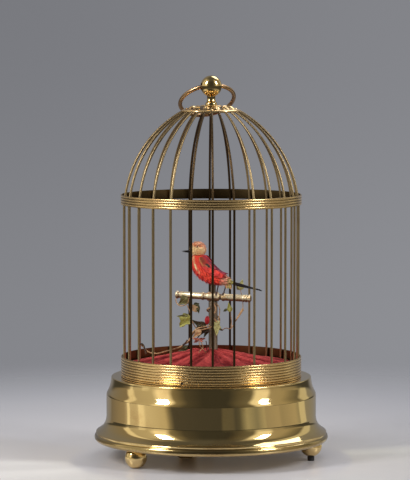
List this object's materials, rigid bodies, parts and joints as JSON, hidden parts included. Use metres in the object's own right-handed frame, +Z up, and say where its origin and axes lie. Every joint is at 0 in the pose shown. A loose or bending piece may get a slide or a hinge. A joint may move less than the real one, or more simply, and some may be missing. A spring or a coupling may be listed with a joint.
{
  "type": "singing bird automaton",
  "caption": "Clockwork singing bird in a domed brass cage of round bars, on a spun brass base with ball feet and a carry ring.",
  "frame": {"origin": "on the surface it stands on, below the middle of the base's round rim", "axes": "+Z up along the cage's axis; the bird faces -X, and -Y is the front"},
  "size_m": [0.1714, 0.1714, 0.28],
  "materials": {
    "polished_brass": "polished and lacquered",
    "works_brass": "plain",
    "works_steel": "plain",
    "aged_brass": "dull and tarnished",
    "gilt": "gilded",
    "black_rubber": "matt",
    "velvet": "crushed",
    "wired_leaves": "paper and cloth leaves on wire",
    "breast_plumage": "glued feathers",
    "head_plumage": "glued feathers",
    "wing_plumage": "glued feathers",
    "black_horn": "satin",
    "black_feather": "satin",
    "bellows_leather": "thin skin",
    "bellows_board": "plain"
  },
  "bodies": {
    "case": {"base_shell": "polished_brass", "bottom_plate": "polished_brass", "foot_front_left": "polished_brass", "foot_right": "polished_brass", "foot_back": "polished_brass", "foot_tip": "black_rubber", "lower_band": "polished_brass", "mid_band": "polished_brass", "rosette": "polished_brass", "crown_nut": "polished_brass", "finial": "polished_brass", "velvet_floor": "velvet", "perch_post": "aged_brass", "perch_rod": "gilt", "vine": "wired_leaves", "bird_body": "breast_plumage", "wing_left": "wing_plumage", "wing_right": "wing_plumage", "movement_frame": "works_brass", "bellows": "bellows_leather", "whistle_tube": "works_brass", "cage_bar_01": "polished_brass", "cage_bar_02": "polished_brass", "cage_bar_03": "polished_brass", "cage_bar_04": "polished_brass", "cage_bar_05": "polished_brass", "cage_bar_06": "polished_brass", "cage_bar_07": "polished_brass", "cage_bar_08": "polished_brass", "cage_bar_09": "polished_brass", "cage_bar_10": "polished_brass", "cage_bar_11": "polished_brass", "cage_bar_12": "polished_brass", "cage_bar_13": "polished_brass", "cage_bar_14": "polished_brass", "cage_bar_15": "polished_brass", "cage_bar_16": "polished_brass", "cage_bar_17": "polished_brass", "cage_bar_18": "polished_brass", "cage_bar_19": "polished_brass", "cage_bar_20": "polished_brass", "cage_bar_21": "polished_brass", "cage_bar_22": "polished_brass", "cage_bar_23": "polished_brass", "cage_bar_24": "polished_brass", "cage_bar_25": "polished_brass", "cage_bar_26": "polished_brass"},
    "ring": {"carry_ring": "polished_brass"},
    "head": {"bird_head": "head_plumage"},
    "beak": {"lower_beak": "black_horn"},
    "tail": {"bird_tail": "black_feather"},
    "wire": {"pull_wire": "works_steel"},
    "key": {"winding_key": "polished_brass"},
    "barrel": {"spring_barrel": "works_brass"},
    "centre_arbor": {"centre_wheel": "works_brass"},
    "fly_arbor": {"fly": "works_steel"},
    "bellows_board": {"bellows_lid": "bellows_board"},
    "piston": {"whistle_piston": "works_steel"},
    "stop": {"stop_lever": "polished_brass"}
  },
  "joints": [
    {"name": "carry_ring_swing", "type": "hinge", "parent": "case", "child": "ring", "pos_m": [0, 0, 0.2722], "axis": [0.9734, 0.2247, 0.0436], "range_deg": [0, 249]},
    {"name": "head_turn", "type": "hinge", "parent": "case", "child": "head", "pos_m": [-0.01004, 0.00331, 0.1484], "axis": [0, 0, 1], "range_deg": [-35, 35]},
    {"name": "beak_open", "type": "hinge", "parent": "head", "child": "beak", "pos_m": [-0.01532, 0.00482, 0.1504], "axis": [-0.2756, -0.9613, 0], "range_deg": [0, 16]},
    {"name": "tail_lift", "type": "hinge", "parent": "case", "child": "tail", "pos_m": [0.01563, -0.00405, 0.12875], "axis": [-0.2756, -0.9613, 0], "range_deg": [0, 12]},
    {"name": "wire_pull", "type": "slide", "parent": "case", "child": "wire", "axis": [0, 0, 1], "range_m": [0, 0.0014]},
    {"name": "key_turn", "type": "hinge", "parent": "case", "child": "key", "pos_m": [-0.0185, -0.02, 0.0066], "axis": [0, 0, 1], "continuous": true},
    {"name": "barrel_spin", "type": "hinge", "parent": "case", "child": "barrel", "pos_m": [-0.0185, -0.02, 0.031], "axis": [0, 0, 1], "continuous": true},
    {"name": "centre_spin", "type": "hinge", "parent": "case", "child": "centre_arbor", "pos_m": [-0.00594, 0.00176, 0.031], "axis": [0, 0, 1], "continuous": true},
    {"name": "fly_spin", "type": "hinge", "parent": "case", "child": "fly_arbor", "pos_m": [0.01387, -0.00174, 0.031], "axis": [0, 0, 1], "continuous": true},
    {"name": "bellows_pump", "type": "hinge", "parent": "case", "child": "bellows_board", "pos_m": [0.008, 0.019, 0.0486], "axis": [0, -1, 0], "range_deg": [0, 8]},
    {"name": "piston_slide", "type": "slide", "parent": "case", "child": "piston", "axis": [1, 0, 0], "range_m": [0, 0.018]},
    {"name": "stop_slide", "type": "slide", "parent": "case", "child": "stop", "axis": [1, 0, 0], "range_m": [0, 0.006]}
  ],
  "couplings": [
    {"joint": "beak_open", "follows": "wire_pull", "rad_per_m": 199},
    {"joint": "tail_lift", "follows": "wire_pull", "rad_per_m": 149},
    {"joint": "centre_spin", "follows": "barrel_spin", "ratio": -4},
    {"joint": "fly_spin", "follows": "barrel_spin", "ratio": 16}
  ]
}
